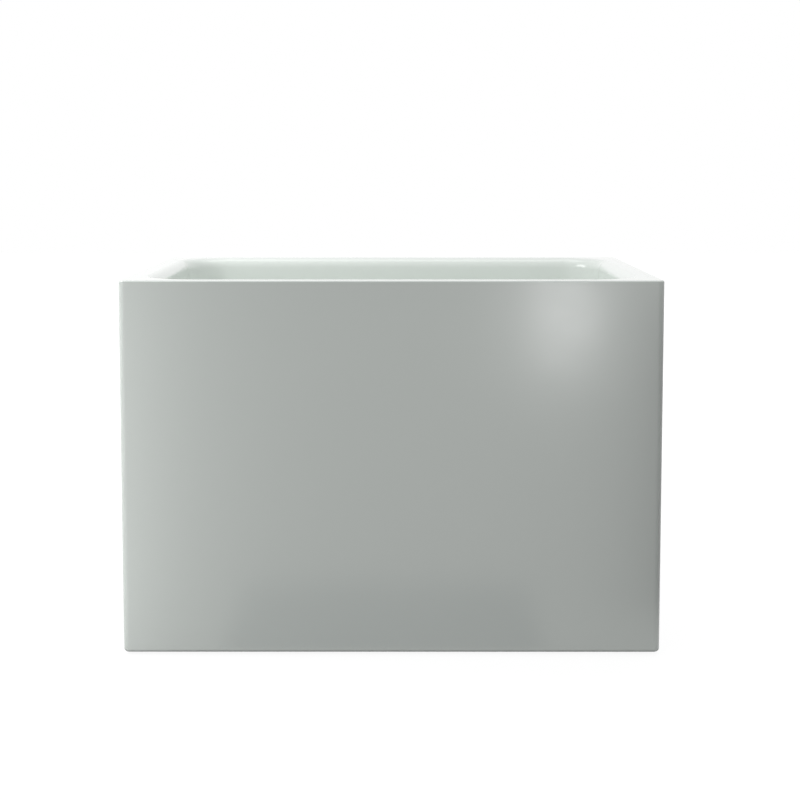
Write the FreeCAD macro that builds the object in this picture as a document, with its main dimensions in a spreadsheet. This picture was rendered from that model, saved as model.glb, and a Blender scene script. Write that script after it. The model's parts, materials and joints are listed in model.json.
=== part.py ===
import FreeCAD, Part

import math
import os
import re

import Sketcher

# A small box-shaped acrylic soaking tub with a moulded seat, a double wall, a steel frame
# on levelling feet, and a rotary overflow that lifts the drain plug.
# X runs along the tub towards the foot end, Y from the front to the back, Z up from the floor.

# Driving sizes, in millimetres and degrees.
SIZES = {
    # Whole tub
    "tub_length": 1000,
    "tub_width": 700,
    "tub_height": 700,
    "outer_corner": 12,
    "overrun": 20,
    # Basin: one bonded shell of acrylic sheet and glass fibre
    "basin_wall": 6,
    "deck_width": 50,
    "rim_roll": 22,
    "rim_edge_bevel": 2,
    "wall_slope": 3,
    "floor_corner": 54,
    "floor_height": 125,
    "floor_blend": 24,
    "seat_height": 325,
    "seat_reach": 400,
    "seat_nose_radius": 35,
    "seat_front_slope": 8,
    # Skirt
    "skirt_lift": 5,
    "skirt_wall": 4.5,
    "skirt_return": 14,
    "skirt_foot_bevel": 4,
    "land_gap": 3,
    "batten_height": 18,
    # Boards bonded under the basin
    "board": 18,
    "seat_board": 15,
    "board_gap": 4,
    # Steel frame
    "rail": 30,
    "rail_wall": 2,
    "rail_inset": 40,
    "rail_end_gap": 12,
    "cap_head": 3,
    "cap_plug": 10,
    "cap_gap": 0.3,
    "post": 20,
    "post_wall": 1.5,
    "post_inset": 30,
    "post_plate": 28,
    "post_plate_thickness": 3,
    "prop": 25,
    "prop_spread": 150,
    # Angle plates between the frame and the skirt
    "bracket_width": 30,
    "bracket_plate": 2.5,
    "bracket_gap": 2,
    "bracket_spread": 300,
    # Levelling feet
    "foot_inset": 95,
    "foot_flats": 40,
    "foot_height": 10,
    "rod_radius": 6,
    "rod_top_gap": 6,
    "thread_clearance": 0.1,
    "nut_flats": 19,
    "nut_height": 30,
    # Drain fitting
    "drain_inset": 100,
    "recess_radius": 47,
    "flange_radius": 44,
    "flange_bore": 21,
    "flange_thickness": 3,
    "floor_hole": 24,
    "guide_width": 11,
    "collar_half": 36,
    "collar_thickness": 4,
    "cup_half": 28,
    "cup_wall": 3,
    "cup_depth": 47,
    "outlet_radius": 20,
    "outlet_wall": 2.5,
    "outlet_length": 30,
    # Drain plug and the lever that lifts it
    "plug_radius": 33,
    "plug_height": 7,
    "stem_radius": 3,
    "running_gap": 0.06,
    "lift_travel": 8,
    "lift_gap": 0.3,
    "lever_arm": 17,
    "lever_rise": 16,
    "lever_web": 1.8,
    "lever_tip": 2.5,
    "lever_width": 6,
    "axle_radius": 2,
    # Overflow and its knob
    "overflow_drop": 95,
    "overflow_hole": 26,
    "housing_half": 36,
    "housing_wall": 3,
    "housing_depth": 37,
    "ring_half": 33,
    "ring_thickness": 3,
    "ring_opening": 20,
    "knob_half": 35,
    "knob_bevel": 8,
    "knob_depth": 12,
    "knob_standoff": 6,
    "shaft_radius": 4,
    "grip_width": 9,
    "grip_height": 7,
    "grip_half": 27,
    "crank_thickness": 5,
    "crank_reach": 20,
    "crank_half": 7,
    "crank_gap": 6,
    # Overflow pipe and control cable
    "spigot_radius": 13,
    "spigot_wall": 3,
    "spigot_length": 26,
    "pipe_gap": 0.1,
    "pipe_wall": 3,
    "pipe_elbow": 45,
    "pipe_overlap": 22,
    "pipe_clearance": 5,
    "cable_radius": 2.5,
    "cable_side": 22.5,
}

doc = FreeCAD.newDocument("bathtub")
sheet = doc.addObject("Spreadsheet::Sheet", "Sizes")
for row, (alias, number) in enumerate(SIZES.items(), 1):
    sheet.set(f"A{row}", alias)
    sheet.set(f"B{row}", str(number))
    sheet.setAlias(f"B{row}", alias)
doc.recompute()

ALIAS = re.compile(r"\b(" + "|".join(sorted(SIZES, key=len, reverse=True)) + r")\b")

# Heights and places that several pieces share, as expressions in the sizes.
LEFT, RIGHT, FRONT, BACK = -1, 1, -1, 1
DECK_BOTTOM = "(tub_height - basin_wall)"
FLANGE_BOTTOM = f"({DECK_BOTTOM} - skirt_wall)"
RETURN_TOP = "(skirt_lift + skirt_wall)"
RIM_CORNER = "(floor_corner + (tub_height - floor_height) * tan(wall_slope * 1deg))"
LAND = "(deck_width - rim_roll - land_gap)"
LAND_RADIUS = f"({RIM_CORNER} + rim_roll + land_gap)"
SEAT_NOSE_X = "(seat_reach - tub_length / 2)"
BOARD_BOTTOM = "(floor_height - basin_wall - board)"
SEAT_BOARD_BOTTOM = "(seat_height - basin_wall - seat_board)"
RAIL_BOTTOM = f"({BOARD_BOTTOM} - rail)"
RAIL_Y = "(tub_width / 2 - rail_inset)"
END_RAIL_X = "(tub_length / 2 - rail_end_gap - rail / 2)"
POST_X = "(tub_length / 2 - post_inset)"
FOOT_X = "(tub_length / 2 - foot_inset)"
NUT_BOTTOM = f"({RAIL_BOTTOM} - nut_height)"
# A flat bevel that touches a round corner of some radius halfway along has this share of the radius.
BEVEL_SHARE = "(2 - sqrt(2))"


def wall_x(height):
    """Where the foot end wall of the basin is, on its inner face, at a height."""
    return f"(tub_length / 2 - deck_width - (tub_height - ({height})) * tan(wall_slope * 1deg))"


def wall_y(height):
    """Where the back wall of the basin is, on its inner face, at a height."""
    return f"(tub_width / 2 - deck_width - (tub_height - ({height})) * tan(wall_slope * 1deg))"


def seat_front_x(height):
    """Where the upright face under the seat's edge is, on its inner face, at a height."""
    return f"({SEAT_NOSE_X} + (seat_height - ({height})) * tan(seat_front_slope * 1deg))"


def behind_foot_end(depth, height):
    """Where a line that runs down behind the foot end wall, at a depth square to it, is at a height."""
    return f"({wall_x(height)} + {depth} / cos(wall_slope * 1deg))"


BOARD_LEFT = f"({seat_front_x('floor_height')} + floor_blend)"
BOARD_RIGHT = f"({wall_x('floor_height')} - floor_blend)"
BOARD_HALF = f"({wall_y('floor_height')} - floor_blend)"
SEAT_BOARD_LEFT = f"(floor_blend - {wall_x('seat_height')})"
SEAT_BOARD_RIGHT = f"({SEAT_NOSE_X} - seat_nose_radius)"
SEAT_BOARD_HALF = f"({wall_y('seat_height')} - floor_blend)"
SEAT_RAIL_X = f"(({SEAT_BOARD_LEFT} + {SEAT_BOARD_RIGHT}) / 2)"

# The drain stands at (DRAIN_X, 0), the overflow square to the foot end wall at (WALL_X, 0, WALL_Z).
DRAIN_X = f"({wall_x('floor_height')} - drain_inset)"
RECESS_FLOOR = "(floor_height - flange_thickness)"
COLLAR_TOP = f"({RECESS_FLOOR} - basin_wall)"
CUP_TOP = f"({COLLAR_TOP} - collar_thickness)"
CUP_BOTTOM = f"({CUP_TOP} - cup_depth)"
LEVER_X = f"({DRAIN_X} - lever_arm)"
LEVER_Z = f"({CUP_BOTTOM} + lever_rise)"
STEM_BOTTOM = f"({LEVER_Z} - lift_travel / 2 + lever_tip + lift_gap)"
MIDDLE_RAIL_X = f"({BOARD_LEFT} + rail / 2)"
DRAIN_RAIL_X = f"({DRAIN_X} - collar_half - board_gap - rail / 2)"
WALL_Z = "(tub_height - overflow_drop)"
WALL_X = wall_x(WALL_Z)
HOUSING_INSIDE = "(basin_wall + housing_depth - housing_wall)"
PIPE_BORE = "(spigot_radius + pipe_gap)"
PIPE_RADIUS = f"({PIPE_BORE} + pipe_wall)"
PIPE_DEPTH = f"(basin_wall + pipe_clearance + {PIPE_RADIUS})"
SPIGOT_TIP = "(housing_half + spigot_length)"
INLET_Z = f"({BOARD_BOTTOM} - {PIPE_RADIUS} - pipe_clearance)"
KNOB_BACK = "(-ring_thickness - knob_standoff)"
KNOB_FACE = f"({KNOB_BACK} - knob_depth)"

FEET = {
    "front_left": (f"-{FOOT_X}", f"-{RAIL_Y}"),
    "front_right": (FOOT_X, f"-{RAIL_Y}"),
    "back_left": (f"-{FOOT_X}", RAIL_Y),
    "back_right": (FOOT_X, RAIL_Y),
}

pieces = []


def size(expression):
    """The number that an expression in the sizes comes to."""
    return float(sheet.evalExpression(str(expression)))


def bind(thing, place, expression):
    """Ties a property of an object to an expression in the sizes."""
    thing.setExpression(place, ALIAS.sub(r"Sizes.\1", str(expression)))


def piece(thing, name):
    """Keeps an object as a physical piece of the tub, under its own name."""
    thing.Label = name
    pieces.append(thing)
    return thing


def new_body(name):
    return doc.addObject("PartDesign::Body", name)


def new_sketch(body, role, offset="0"):
    """An empty sketch on one of its body's origin planes, moved along the plane's normal."""
    sketch = body.newObject("Sketcher::SketchObject", "sketch")
    plane = next(o for o in body.Origin.OriginFeatures if o.Role == role)
    sketch.AttachmentSupport = [(plane, "")]
    sketch.MapMode = "FlatFace"
    if offset != "0":
        bind(sketch, "AttachmentOffset.Base.z", offset)
    return sketch


def fix_point(sketch, shape, end, x, y):
    """Holds one end of a shape in a sketch at a place given in the sizes."""
    for kind, expression, axis in (("DistanceX", x, -2), ("DistanceY", y, -1)):
        number = size(expression)
        if abs(number) < 1e-9:
            sketch.addConstraint(Sketcher.Constraint("PointOnObject", shape, end, axis))
        else:
            rule = sketch.addConstraint(Sketcher.Constraint(kind, -1, 1, shape, end, number))
            bind(sketch, f"Constraints[{rule}]", expression)


def add_outline(sketch, corners):
    """Adds a closed outline of straight lines through corners given in the sizes."""
    first = len(sketch.Geometry)
    count = len(corners)
    places = [FreeCAD.Vector(size(x), size(y), 0) for x, y in corners]
    for i in range(count):
        sketch.addGeometry(Part.LineSegment(places[i], places[(i + 1) % count]), False)
    for i in range(count):
        sketch.addConstraint(Sketcher.Constraint("Coincident", first + i, 2, first + (i + 1) % count, 1))
    for i, (x, y) in enumerate(corners):
        fix_point(sketch, first + i, 1, x, y)


def add_box(sketch, x_low, x_high, y_low, y_high):
    add_outline(sketch, [(x_low, y_low), (x_high, y_low), (x_high, y_high), (x_low, y_high)])


def add_circle(sketch, x, y, radius):
    place = FreeCAD.Vector(size(x), size(y), 0)
    shape = sketch.addGeometry(Part.Circle(place, FreeCAD.Vector(0, 0, 1), size(radius)), False)
    fix_point(sketch, shape, 3, x, y)
    rule = sketch.addConstraint(Sketcher.Constraint("Radius", shape, size(radius)))
    bind(sketch, f"Constraints[{rule}]", radius)


def add_hexagon(sketch, x, y, flats):
    """Adds a nut's outline, by its size across the flats."""
    reach = f"{flats} / sqrt(3)"
    turns = range(0, 360, 60)
    add_outline(sketch, [(f"{x} + {reach} * cos({a}deg)", f"{y} + {reach} * sin({a}deg)") for a in turns])


def feature(body, kind, sketch, **settings):
    """Adds a feature made from a sketch. Text settings are expressions in the sizes."""
    made = body.newObject(f"PartDesign::{kind}", kind.lower())
    made.Profile = sketch
    for name, value in settings.items():
        if isinstance(value, str) and name != "Type":
            bind(made, name, value)
        else:
            setattr(made, name, value)
    doc.recompute()
    return made


def pad(body, sketch, length, **settings):
    return feature(body, "Pad", sketch, Length=length, **settings)


def pocket(body, sketch, length=None, **settings):
    """Cuts along the sketch's normal, or right through both ways where no length is given."""
    if length is None:
        return feature(body, "Pocket", sketch, Type="ThroughAll", Midplane=True, **settings)
    return feature(body, "Pocket", sketch, Length=length, Reversed=True, **settings)


def edges_of(shape, test):
    return [number for number, edge in enumerate(shape.Edges, 1) if test(edge)]


def ease_edges(body, base, test, amount, kind="Fillet"):
    """Rounds or bevels the edges of a feature that pass a test."""
    made = body.newObject(f"PartDesign::{kind}", kind.lower())
    made.Base = (base, [f"Edge{n}" for n in edges_of(base.Shape, test)])
    bind(made, "Radius" if kind == "Fillet" else "Size", amount)
    doc.recompute()
    return made


def boolean(kind, name, *parts):
    """Joins or cuts whole objects."""
    made = doc.addObject(f"Part::{kind}", name)
    if kind == "MultiFuse":
        made.Shapes = list(parts)
    else:
        made.Base, made.Tool = parts
    doc.recompute()
    return made


def ease_solid(name, base, test, amount, kind="Fillet"):
    """Rounds or bevels the edges of a boolean result that pass a test."""
    made = doc.addObject(f"Part::{kind}", name)
    made.Base = base
    made.Edges = [(n, size(amount), size(amount)) for n in edges_of(base.Shape, test)]
    doc.recompute()
    return made


def place(thing, x="0", y="0", z="0", tilt=None):
    """Places an object, tilted about Y where a tilt is given."""
    if tilt is not None:
        turn = FreeCAD.Rotation(FreeCAD.Vector(0, 1, 0), size(tilt))
        thing.Placement = FreeCAD.Placement(FreeCAD.Vector(), turn)
        bind(thing, "Placement.Rotation.Angle", tilt)
    for axis, expression in (("x", x), ("y", y), ("z", z)):
        bind(thing, f"Placement.Base.{axis}", expression)
    doc.recompute()
    return thing


def on_overflow(body):
    """Places a body so that its X axis runs out through the foot end wall at the overflow."""
    return place(body, x=WALL_X, z=WALL_Z, tilt="wall_slope")


def level(edge, height):
    """Whether an edge lies flat at a height."""
    box = edge.BoundBox
    return abs(box.ZMin - size(height)) < 0.01 and abs(box.ZMax - size(height)) < 0.01


def creased(shape, edge):
    """Whether the two faces at an edge meet at an angle, and not in one smooth surface."""
    faces = shape.ancestorsOfType(edge, Part.Face)
    if len(faces) < 2:
        return False
    middle = edge.valueAt((edge.FirstParameter + edge.LastParameter) / 2)
    normals = [face.normalAt(*face.Surface.parameter(middle)) for face in faces]
    return normals[0].getAngle(normals[1]) > 0.02


def add_rounded_box(sketch, half_x, half_y, radius):
    """Adds a rectangle with round corners, centred on the origin."""
    x, y, r = size(half_x), size(half_y), size(radius)
    first = len(sketch.Geometry)
    for turn, (cx, cy) in enumerate(((x - r, y - r), (r - x, y - r), (r - x, r - y), (x - r, r - y))):
        quarter = math.pi / 2
        arc = Part.Circle(FreeCAD.Vector(cx, cy, 0), FreeCAD.Vector(0, 0, 1), r)
        sketch.addGeometry(Part.ArcOfCircle(arc, turn * quarter, (turn + 1) * quarter), False)
    for turn in range(4):
        start = sketch.Geometry[first + turn].EndPoint
        end = sketch.Geometry[first + (turn + 1) % 4].StartPoint
        sketch.addGeometry(Part.LineSegment(start, end), False)
    for turn in range(4):
        sketch.addConstraint(Sketcher.Constraint("Tangent", first + turn, 2, first + 4 + turn, 1))
        sketch.addConstraint(Sketcher.Constraint("Tangent", first + 4 + turn, 2, first + (turn + 1) % 4, 1))
    for turn in range(1, 4):
        sketch.addConstraint(Sketcher.Constraint("Equal", first, first + turn))
    rule = sketch.addConstraint(Sketcher.Constraint("Radius", first, r))
    bind(sketch, f"Constraints[{rule}]", radius)
    centres = [(1, 1), (-1, 1), (-1, -1), (1, -1)]
    for turn, (x_side, y_side) in enumerate(centres):
        x, y = f"({x_side}) * ({half_x} - ({radius}))", f"({y_side}) * ({half_y} - ({radius}))"
        fix_point(sketch, first + turn, 3, x, y)


def rounded_plate(body, half_x, half_y, radius, bottom, thickness):
    sketch = new_sketch(body, "XY_Plane", bottom)
    add_rounded_box(sketch, half_x, half_y, radius)
    return pad(body, sketch, thickness)


def add_bevelled_box(sketch, half_x, half_y, leg):
    """Adds a rectangle with bevelled corners, centred on the origin."""
    x, y = f"({half_x})", f"({half_y})"
    near_x, near_y = f"({x} - {leg})", f"({y} - {leg})"
    right = [(near_x, f"-{y}"), (x, f"-{near_y}"), (x, near_y), (near_x, y)]
    left = [(f"-{near_x}", y), (f"-{x}", near_y), (f"-{x}", f"-{near_y}"), (f"-{near_x}", f"-{y}")]
    add_outline(sketch, right + left)


def add_square(sketch, half):
    add_box(sketch, f"-{half}", half, f"-{half}", half)


def add_route(sketch, corners):
    """Adds a path of straight runs through corners."""
    places = [FreeCAD.Vector(size(x), size(y), 0) for x, y in corners]
    for start, end in zip(places, places[1:]):
        sketch.addGeometry(Part.LineSegment(start, end), False)
    for run in range(len(places) - 2):
        sketch.addConstraint(Sketcher.Constraint("Coincident", run, 2, run + 1, 1))
    for run in range(len(places) - 1):
        fix_point(sketch, run, 1, *corners[run])
    fix_point(sketch, len(places) - 2, 2, *corners[-1])


def add_bend(sketch, start, centre, end, radius):
    """Adds a path of two straight runs and a round bend between them that touches both smoothly."""
    first, middle, last = (FreeCAD.Vector(size(x), size(y), 0) for x, y in (start, centre, end))
    bend = size(radius)
    away = first - middle
    turn = math.atan2(away.y, away.x) - math.acos(bend / away.Length)
    arc = Part.ArcOfCircle(Part.Circle(middle, FreeCAD.Vector(0, 0, 1), bend), -math.pi / 2, turn)
    for run in (Part.LineSegment(first, arc.EndPoint), arc, Part.LineSegment(arc.StartPoint, last)):
        sketch.addGeometry(run, False)
    sketch.addConstraint(Sketcher.Constraint("Tangent", 0, 2, 1, 2))
    sketch.addConstraint(Sketcher.Constraint("Tangent", 1, 1, 2, 1))
    fix_point(sketch, 0, 1, *start)
    fix_point(sketch, 1, 3, *centre)
    fix_point(sketch, 2, 2, *end)
    rule = sketch.addConstraint(Sketcher.Constraint("Radius", 1, bend))
    bind(sketch, f"Constraints[{rule}]", radius)


def pipe(body, path, radius, kind):
    """Sweeps a circle along a path, with a mitre at each sharp corner."""
    section = body.newObject("Sketcher::SketchObject", "section")
    section.AttachmentSupport = [(path, "Edge1")]
    section.MapMode = "NormalToEdge"
    add_circle(section, "0", "0", radius)
    doc.recompute()
    made = body.newObject(f"PartDesign::{kind}", kind.lower())
    made.Profile = section
    made.Spine = path
    made.Transition = "Right corner"
    doc.recompute()
    return made


def room_form(name, growth, top, add_corners, corner):
    """The room inside the basin as a solid that narrows downwards, grown all round by a thickness."""
    body = new_body(name)
    low = f"(floor_height - {growth})"
    spread = f"{growth} / cos(wall_slope * 1deg)"
    sketch = new_sketch(body, "XY_Plane", low)
    add_corners(sketch, f"({wall_x(low)} + {spread})", f"({wall_y(low)} + {spread})", corner)
    made = pad(body, sketch, f"{top} - {low}", TaperAngle="wall_slope")
    seat_top = f"(seat_height - {growth})"
    deep = f"({low} - overrun)"
    setback = f"{growth} / cos(seat_front_slope * 1deg)"
    nose_x = f"({seat_front_x(seat_top)} - {setback})"
    sketch = new_sketch(body, "XZ_Plane")
    add_outline(sketch, [("-tub_length", deep), (f"{seat_front_x(deep)} - {setback}", deep),
                         (nose_x, seat_top), ("-tub_length", seat_top)])
    made = pocket(body, sketch)

    def seat_nose(edge):
        at_nose = abs(edge.BoundBox.XMin - size(nose_x)) < 0.01 and edge.BoundBox.XLength < 0.01
        return level(edge, seat_top) and at_nose

    return ease_edges(body, made, seat_nose, f"seat_nose_radius - {growth}")


def cylinder(name, radius, height, tilt=None, **where):
    made = doc.addObject("Part::Cylinder", name)
    bind(made, "Radius", radius)
    bind(made, "Height", height)
    return place(made, tilt=tilt, **where)


def inner_loop(edge, height):
    """Whether an edge is part of the loop where the basin's wall meets the deck at a height."""
    box = edge.BoundBox
    in_x = max(box.XMax, -box.XMin) < size(f"tub_length / 2 - {LAND}")
    in_y = max(box.YMax, -box.YMin) < size(f"tub_width / 2 - {LAND}")
    return level(edge, height) and in_x and in_y


def basin():
    """The moulded basin: drafted walls, a seat, blended lower edges, and a deck with a rolled rim."""
    top = "(tub_height + overrun)"
    made = room_form("room", "0", top, add_rounded_box, "floor_corner")
    room = made.getParentGeoFeatureGroup()
    creases = lambda e: e.BoundBox.ZMin < size(top) - 1 and creased(made.Shape, e)
    ease_edges(room, made, creases, "floor_blend")
    top = f"({DECK_BOTTOM} + basin_wall / 2)"
    corner = f"((floor_corner + basin_wall) * {BEVEL_SHARE})"
    made = room_form("wall", "basin_wall", top, add_bevelled_box, corner)
    wall = made.getParentGeoFeatureGroup()

    ease_edges(wall, made, lambda e: level(e, "floor_height - basin_wall"),
               f"(floor_blend + basin_wall) * {BEVEL_SHARE}", "Chamfer")

    plate = new_body("deck_plate")
    deck = rounded_plate(plate, "tub_length / 2", "tub_width / 2", "outer_corner", DECK_BOTTOM, "basin_wall")
    ease_edges(plate, deck, lambda e: level(e, "tub_height"), "rim_edge_bevel", "Chamfer")
    boss = cylinder("drain_boss", "recess_radius + basin_wall", f"floor_height - {RECESS_FLOOR}",
                    x=DRAIN_X, z=f"{RECESS_FLOOR} - basin_wall")
    joined = boolean("MultiFuse", "basin_outside", plate, wall, boss)
    form = ease_solid("basin_form", joined, lambda e: inner_loop(e, DECK_BOTTOM),
                      f"(rim_roll - basin_wall) * {BEVEL_SHARE}", "Chamfer")

    recess = cylinder("recess", "recess_radius", f"floor_height - {RECESS_FLOOR} + flange_thickness",
                      x=DRAIN_X, z=RECESS_FLOOR)
    drain_hole = cylinder("drain_hole", "floor_hole", "2 * overrun", x=DRAIN_X,
                          z=f"{RECESS_FLOOR} - overrun")
    wall_hole = cylinder("wall_hole", "overflow_hole", "2 * overrun", tilt="90 + wall_slope",
                         x=f"{WALL_X} - overrun * cos(wall_slope * 1deg)",
                         z=f"{WALL_Z} + overrun * sin(wall_slope * 1deg)")
    openings = boolean("MultiFuse", "openings", room, recess, drain_hole, wall_hole)
    hollow = boolean("Cut", "basin_hollow", form, openings)
    piece(ease_solid("basin", hollow, lambda e: inner_loop(e, "tub_height"), "rim_roll"), "basin")


def skirt():
    """The outer shell, with its bonding flange at the top and a turned-in foot."""
    body = piece(new_body("skirt"), "skirt")
    made = rounded_plate(body, "tub_length / 2", "tub_width / 2", "outer_corner", "skirt_lift",
                         f"{DECK_BOTTOM} - skirt_lift")
    ease_edges(body, made, lambda e: level(e, "skirt_lift"), "skirt_foot_bevel", "Chamfer")
    sketch = new_sketch(body, "XY_Plane", RETURN_TOP)
    add_box(sketch, "skirt_wall - tub_length / 2", "tub_length / 2 - skirt_wall",
            "skirt_wall - tub_width / 2", "tub_width / 2 - skirt_wall")
    pocket(body, sketch, f"{FLANGE_BOTTOM} - {RETURN_TOP}")
    sketch = new_sketch(body, "XY_Plane", FLANGE_BOTTOM)
    add_rounded_box(sketch, f"tub_length / 2 - {LAND}", f"tub_width / 2 - {LAND}", LAND_RADIUS)
    pocket(body, sketch, "2 * skirt_wall")
    sketch = new_sketch(body, "XY_Plane")
    add_box(sketch, "skirt_return - tub_length / 2", "tub_length / 2 - skirt_return",
            "skirt_return - tub_width / 2", "tub_width / 2 - skirt_return")
    pocket(body, sketch, RETURN_TOP)


def block(name, x_low, x_high, y_low, y_high, bottom, thickness):
    """A plain board or bar, as a body that later cuts can follow."""
    body = piece(new_body(name), name)
    sketch = new_sketch(body, "XY_Plane", bottom)
    add_box(sketch, x_low, x_high, y_low, y_high)
    pad(body, sketch, thickness)
    return body


def rim_battens():
    """The timber bars glued in the corner between the skirt and its top flange."""
    bottom = f"{FLANGE_BOTTOM} - batten_height"
    half = "(tub_length / 2 - skirt_wall - outer_corner)"
    near, far = f"(tub_width / 2 - {LAND})", "(tub_width / 2 - skirt_wall)"
    block("rim_batten_front", f"-{half}", half, f"-{far}", f"-{near}", bottom, "batten_height")
    block("rim_batten_back", f"-{half}", half, near, far, bottom, "batten_height")
    half = f"({RAIL_Y} - post_plate / 2 - board_gap)"
    near, far = f"(tub_length / 2 - {LAND})", "(tub_length / 2 - skirt_wall)"
    block("rim_batten_left", f"-{far}", f"-{near}", f"-{half}", half, bottom, "batten_height")
    block("rim_batten_right", near, far, f"-{half}", half, bottom, "batten_height")


def boards():
    """The plywood boards that are bonded under the floor and under the seat."""
    body = block("base_board", BOARD_LEFT, BOARD_RIGHT, f"-{BOARD_HALF}", BOARD_HALF, BOARD_BOTTOM, "board")
    sketch = new_sketch(body, "XY_Plane")
    add_circle(sketch, DRAIN_X, "0", "recess_radius + basin_wall + board_gap")
    pocket(body, sketch)
    block("seat_board", SEAT_BOARD_LEFT, SEAT_BOARD_RIGHT, f"-{SEAT_BOARD_HALF}", SEAT_BOARD_HALF,
          SEAT_BOARD_BOTTOM, "seat_board")


def tube(name, role, outlines, length, half=None, bottom=None):
    """A square steel tube: an outline and the same outline less the wall, padded along one axis."""
    body = piece(new_body(name), name)
    sketch = new_sketch(body, role, bottom or "0")
    for x, y, reach in outlines:
        add_box(sketch, f"{x} - {reach}", f"{x} + {reach}", f"{y} - {reach}", f"{y} + {reach}")
    pad(body, sketch, length, Midplane=bool(half))
    return body


def side_rails():
    """The two long rails."""
    for name, side in (("front", FRONT), ("back", BACK)):
        middle = (f"({side}) * {RAIL_Y}", f"{RAIL_BOTTOM} + rail / 2")
        tube(f"frame_rail_{name}", "YZ_Plane", [(*middle, "rail / 2"), (*middle, "(rail / 2 - rail_wall)")],
             "tub_length - 2 * rail_end_gap", half=True)


def cross_rails():
    """The rails between the two long ones: at both ends, under the seat and under the base board."""
    places = {
        "frame_end_rail_left": f"-{END_RAIL_X}",
        "frame_end_rail_right": END_RAIL_X,
        "frame_seat_rail": SEAT_RAIL_X,
        "frame_middle_rail": MIDDLE_RAIL_X,
        "frame_drain_rail": DRAIN_RAIL_X,
    }
    for name, x in places.items():
        middle = (x, f"{RAIL_BOTTOM} + rail / 2")
        tube(name, "XZ_Plane", [(*middle, "rail / 2"), (*middle, "(rail / 2 - rail_wall)")],
             f"2 * {RAIL_Y} - rail", half=True)


def uprights():
    """The corner posts that carry the rim, and the two props under the seat board."""
    for end, x in (("left", f"-{POST_X}"), ("right", POST_X)):
        for row, y in (("front", f"-{RAIL_Y}"), ("back", RAIL_Y)):
            body = tube(f"corner_post_{row}_{end}", "XY_Plane",
                        [(x, y, "post / 2"), (x, y, "(post / 2 - post_wall)")],
                        f"{FLANGE_BOTTOM} - post_plate_thickness - {BOARD_BOTTOM}", bottom=BOARD_BOTTOM)
            sketch = new_sketch(body, "XY_Plane", f"{FLANGE_BOTTOM} - post_plate_thickness")
            add_box(sketch, f"{x} - post_plate / 2", f"{x} + post_plate / 2",
                    f"{y} - post_plate / 2", f"{y} + post_plate / 2")
            pad(body, sketch, "post_plate_thickness")
    outlines = [(SEAT_RAIL_X, f"({side}) * prop_spread", reach)
                for side in (FRONT, BACK) for reach in ("prop / 2", "(prop / 2 - rail_wall)")]
    tube("seat_props", "XY_Plane", outlines, f"{SEAT_BOARD_BOTTOM} - {BOARD_BOTTOM}", bottom=BOARD_BOTTOM)


def rail_end_caps():
    """The plastic plugs in the open ends of the two long rails."""
    body = piece(new_body("rail_end_caps"), "rail_end_caps")
    z = f"{RAIL_BOTTOM} + rail / 2"
    for end in (LEFT, RIGHT):
        for reach, length, outward in (("rail / 2", "cap_head", True),
                                       ("rail / 2 - rail_wall - cap_gap", "cap_plug", False)):
            sketch = new_sketch(body, "YZ_Plane", f"({end}) * (tub_length / 2 - rail_end_gap)")
            low, high = f"{z} - ({reach})", f"{z} + ({reach})"
            for side in (FRONT, BACK):
                y = f"({side}) * {RAIL_Y}"
                add_box(sketch, f"{y} - ({reach})", f"{y} + ({reach})", low, high)
            pad(body, sketch, length, Reversed=(end == LEFT) == outward)


def skirt_brackets():
    """The angle plates, three to a side, that tie the skirt's turned-in foot to the long rails."""
    body = piece(new_body("skirt_brackets"), "skirt_brackets")
    rail_face = f"({RAIL_Y} + rail / 2)"
    plate_face = f"({rail_face} + bracket_plate)"
    tip = "(tub_width / 2 - skirt_wall - bracket_gap)"
    shelf = f"({RETURN_TOP} + bracket_plate)"
    high = f"({BOARD_BOTTOM} - bracket_gap)"
    outline = [(rail_face, RETURN_TOP), (tip, RETURN_TOP), (tip, shelf), (plate_face, shelf),
               (plate_face, high), (rail_face, high)]
    for side in (FRONT, BACK):
        for step in (-1, 0, 1):
            sketch = new_sketch(body, "YZ_Plane", f"{step} * bracket_spread - bracket_width / 2")
            add_outline(sketch, [(f"({side}) * {y}", z) for y, z in outline])
            pad(body, sketch, "bracket_width")


def levelling_feet():
    """The four screwed feet, each a rod with a six-sided plate, and the long nuts welded to the rails."""
    nuts = piece(new_body("weld_nuts"), "weld_nuts")
    sketch = new_sketch(nuts, "XY_Plane", NUT_BOTTOM)
    for x, y in FEET.values():
        add_hexagon(sketch, x, y, "nut_flats")
        add_circle(sketch, x, y, "rod_radius + thread_clearance")
    pad(nuts, sketch, "nut_height")
    for name, (x, y) in FEET.items():
        foot = piece(new_body(f"levelling_foot_{name}"), f"levelling_foot_{name}")
        sketch = new_sketch(foot, "XY_Plane")
        add_hexagon(sketch, "0", "0", "foot_flats")
        pad(foot, sketch, "foot_height")
        sketch = new_sketch(foot, "XY_Plane")
        add_circle(sketch, "0", "0", "rod_radius")
        pad(foot, sketch, f"{RAIL_BOTTOM} - rod_top_gap")
        place(foot, x, y)


def drain_flange():
    """The chromed flange in the floor's recess, with a bar across it that guides the plug's stem."""
    body = piece(new_body("drain_flange"), "drain_flange")
    sketch = new_sketch(body, "XY_Plane", RECESS_FLOOR)
    add_circle(sketch, "0", "0", "flange_radius")
    add_circle(sketch, "0", "0", "flange_bore")
    pad(body, sketch, "flange_thickness")
    sketch = new_sketch(body, "XY_Plane", RECESS_FLOOR)
    reach = "((flange_bore + flange_radius) / 2)"
    add_box(sketch, "-guide_width / 2", "guide_width / 2", f"-{reach}", reach)
    pad(body, sketch, "flange_thickness")
    sketch = new_sketch(body, "XY_Plane", RECESS_FLOOR)
    add_circle(sketch, "0", "0", "stem_radius + running_gap")
    pocket(body, sketch, "2 * flange_thickness")
    place(body, DRAIN_X)


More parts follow.
